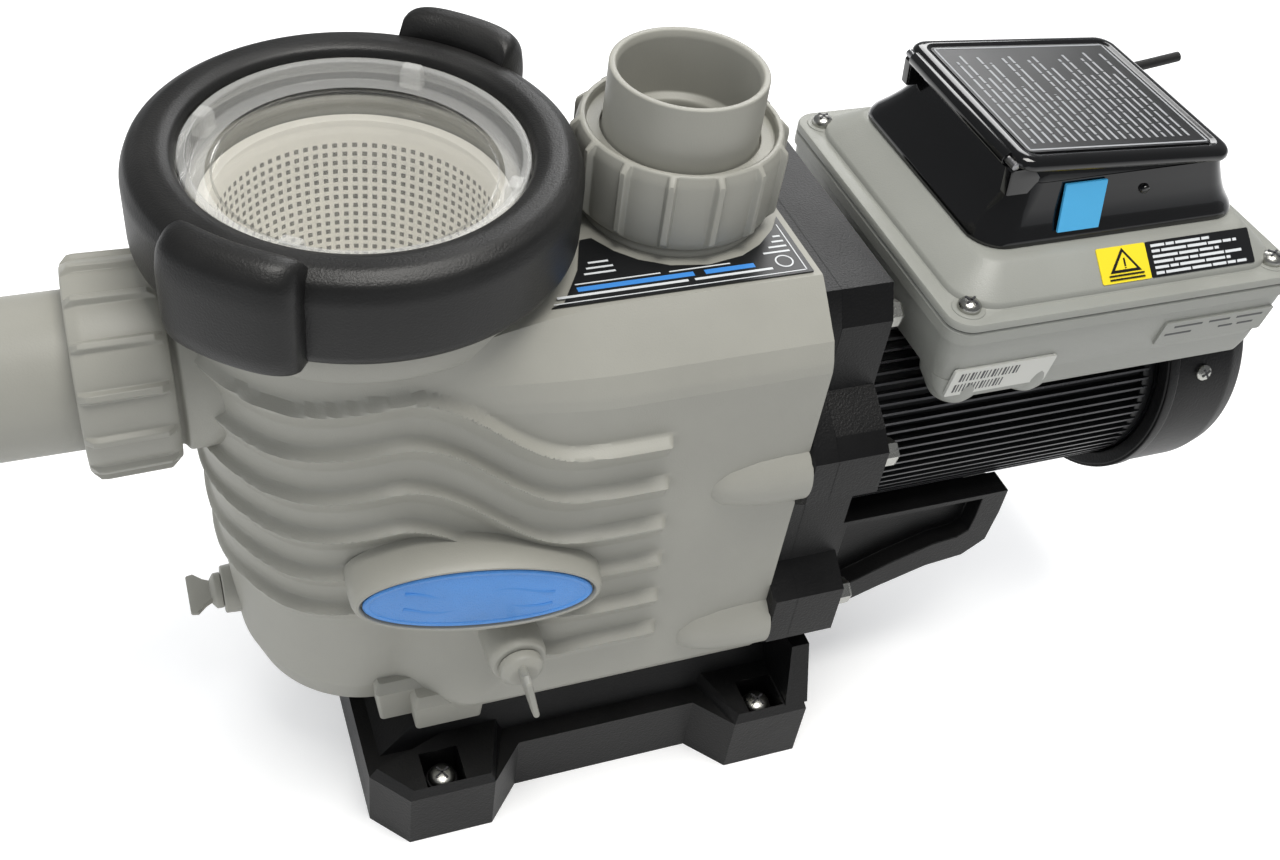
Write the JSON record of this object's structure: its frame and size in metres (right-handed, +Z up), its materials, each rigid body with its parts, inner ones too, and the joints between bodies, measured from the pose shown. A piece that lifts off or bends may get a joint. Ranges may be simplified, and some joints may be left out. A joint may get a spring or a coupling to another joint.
{
  "type": "pool pump",
  "caption": "Pool circulation pump: strainer with clear lid and lock ring, volute housing with union ports, finned motor and control box on a moulded base.",
  "frame": {"origin": "on the ground under the vertical axis of the strainer bowl, in the plane of the motor shaft", "axes": "+X along the motor shaft from the strainer to the motor, -Y towards the badge side, +Z up"},
  "size_m": [0.6858, 0.2769, 0.386],
  "materials": {
    "housing_grey": "satin moulded plastic",
    "union_grey": "satin moulded plastic",
    "black_satin": "satin black plastic",
    "ring_black": "satin black plastic",
    "gloss_black": "gloss",
    "clear": "clear polycarbonate",
    "basket_white": "satin",
    "badge_blue": "satin",
    "rubber": "matte",
    "zinc": "zinc plated",
    "steel": "turned",
    "motor_black": "satin black paint",
    "box_grey": "satin grey paint",
    "board_green": "satin",
    "copper": "wound copper",
    "button_grey": "satin",
    "label_black": "printed foil"
  },
  "bodies": {
    "root": {"base": "black_satin", "base_screw_1": "zinc", "base_screw_2": "zinc", "base_screw_3": "zinc", "base_screw_4": "zinc", "cable_gland": "black_satin", "control_board": "board_green", "control_box_body": "box_grey", "control_box_lid": "box_grey", "cover_hinge_pin": "steel", "diffuser": "black_satin", "discharge_oring": "rubber", "discharge_tailpiece": "union_grey", "display_window": "clear", "fan_cover": "black_satin", "fan_cover_screw_1": "zinc", "fan_cover_screw_2": "zinc", "front_bearing": "steel", "housing_bolt_1": "zinc", "housing_bolt_2": "zinc", "housing_bolt_3": "zinc", "housing_bolt_4": "zinc", "housing_bolt_5": "zinc", "housing_bolt_6": "zinc", "housing_label": "label_black", "keypad_housing": "gloss_black", "lid_screw_1": "zinc", "lid_screw_2": "zinc", "lid_screw_3": "zinc", "lid_screw_4": "zinc", "motor_bracket": "black_satin", "motor_housing": "motor_black", "name_badge": "badge_blue", "power_cable": "rubber", "pump_housing": "housing_grey", "rear_bearing": "steel", "rear_end_bell": "motor_black", "seal_plate": "black_satin", "shaft_seal": "rubber", "stator_core": "copper", "suction_oring": "rubber", "suction_tailpiece": "union_grey"},
    "lid_body": {"clear_lid": "clear", "lid_oring": "rubber"},
    "ring_body": {"lock_ring": "ring_black"},
    "basket_body": {"strainer_basket": "basket_white"},
    "rotor_body": {"motor_shaft": "steel", "rotor_core": "steel", "cooling_fan": "black_satin", "impeller": "black_satin"},
    "cover_body": {"keypad_cover": "gloss_black"},
    "discharge_nut_body": {"discharge_nut": "union_grey"},
    "suction_nut_body": {"suction_nut": "union_grey"},
    "plug_front_body": {"drain_plug_front": "housing_grey"},
    "plug_left_body": {"drain_plug_left": "housing_grey"},
    "button_1_body": {"keypad_button_1": "button_grey"},
    "button_2_body": {"keypad_button_2": "button_grey"},
    "button_3_body": {"keypad_button_3": "button_grey"},
    "button_4_body": {"keypad_button_4": "button_grey"}
  },
  "joints": [
    {"name": "lid_lift", "type": "slide", "parent": "root", "child": "lid_body", "axis": [0, 0, 1], "range_m": [0, 0.26]},
    {"name": "ring_turn", "type": "hinge", "parent": "lid_body", "child": "ring_body", "pos_m": [0, 0, 0.34], "axis": [0, 0, 1], "range_deg": [0, 46]},
    {"name": "basket_lift", "type": "slide", "parent": "root", "child": "basket_body", "axis": [0, 0, 1], "range_m": [0, 0.17]},
    {"name": "rotor_spin", "type": "hinge", "parent": "root", "child": "rotor_body", "pos_m": [0.3, 0, 0.19], "axis": [1, 0, 0], "continuous": true},
    {"name": "cover_hinge", "type": "hinge", "parent": "root", "child": "cover_body", "pos_m": [0.281, 0, 0.345], "axis": [0, -1, 0], "range_deg": [0, 110]},
    {"name": "discharge_nut_turn", "type": "hinge", "parent": "root", "child": "discharge_nut_body", "pos_m": [0.141, 0, 0.33], "axis": [0, 0, 1], "continuous": true},
    {"name": "suction_nut_turn", "type": "hinge", "parent": "root", "child": "suction_nut_body", "pos_m": [-0.1, 0, 0.262], "axis": [-1, 0, 0], "continuous": true},
    {"name": "plug_front_turn", "type": "hinge", "parent": "root", "child": "plug_front_body", "pos_m": [0.053, -0.1, 0.13], "axis": [0, -1, 0], "continuous": true},
    {"name": "plug_left_turn", "type": "hinge", "parent": "root", "child": "plug_left_body", "pos_m": [-0.072, 0, 0.102], "axis": [-1, 0, 0], "continuous": true},
    {"name": "button_1_press", "type": "slide", "parent": "root", "child": "button_1_body", "axis": [0, 0, -1], "range_m": [0, 0.0008]},
    {"name": "button_2_press", "type": "slide", "parent": "root", "child": "button_2_body", "axis": [0, 0, -1], "range_m": [0, 0.0008]},
    {"name": "button_3_press", "type": "slide", "parent": "root", "child": "button_3_body", "axis": [0, 0, -1], "range_m": [0, 0.0008]},
    {"name": "button_4_press", "type": "slide", "parent": "root", "child": "button_4_body", "axis": [0, 0, -1], "range_m": [0, 0.0008]}
  ],
  "couplings": [
    {"joint": "ring_turn", "follows": "lid_lift", "rad_per_m": 3},
    {"joint": "basket_lift", "follows": "lid_lift", "ratio": 0.65}
  ]
}
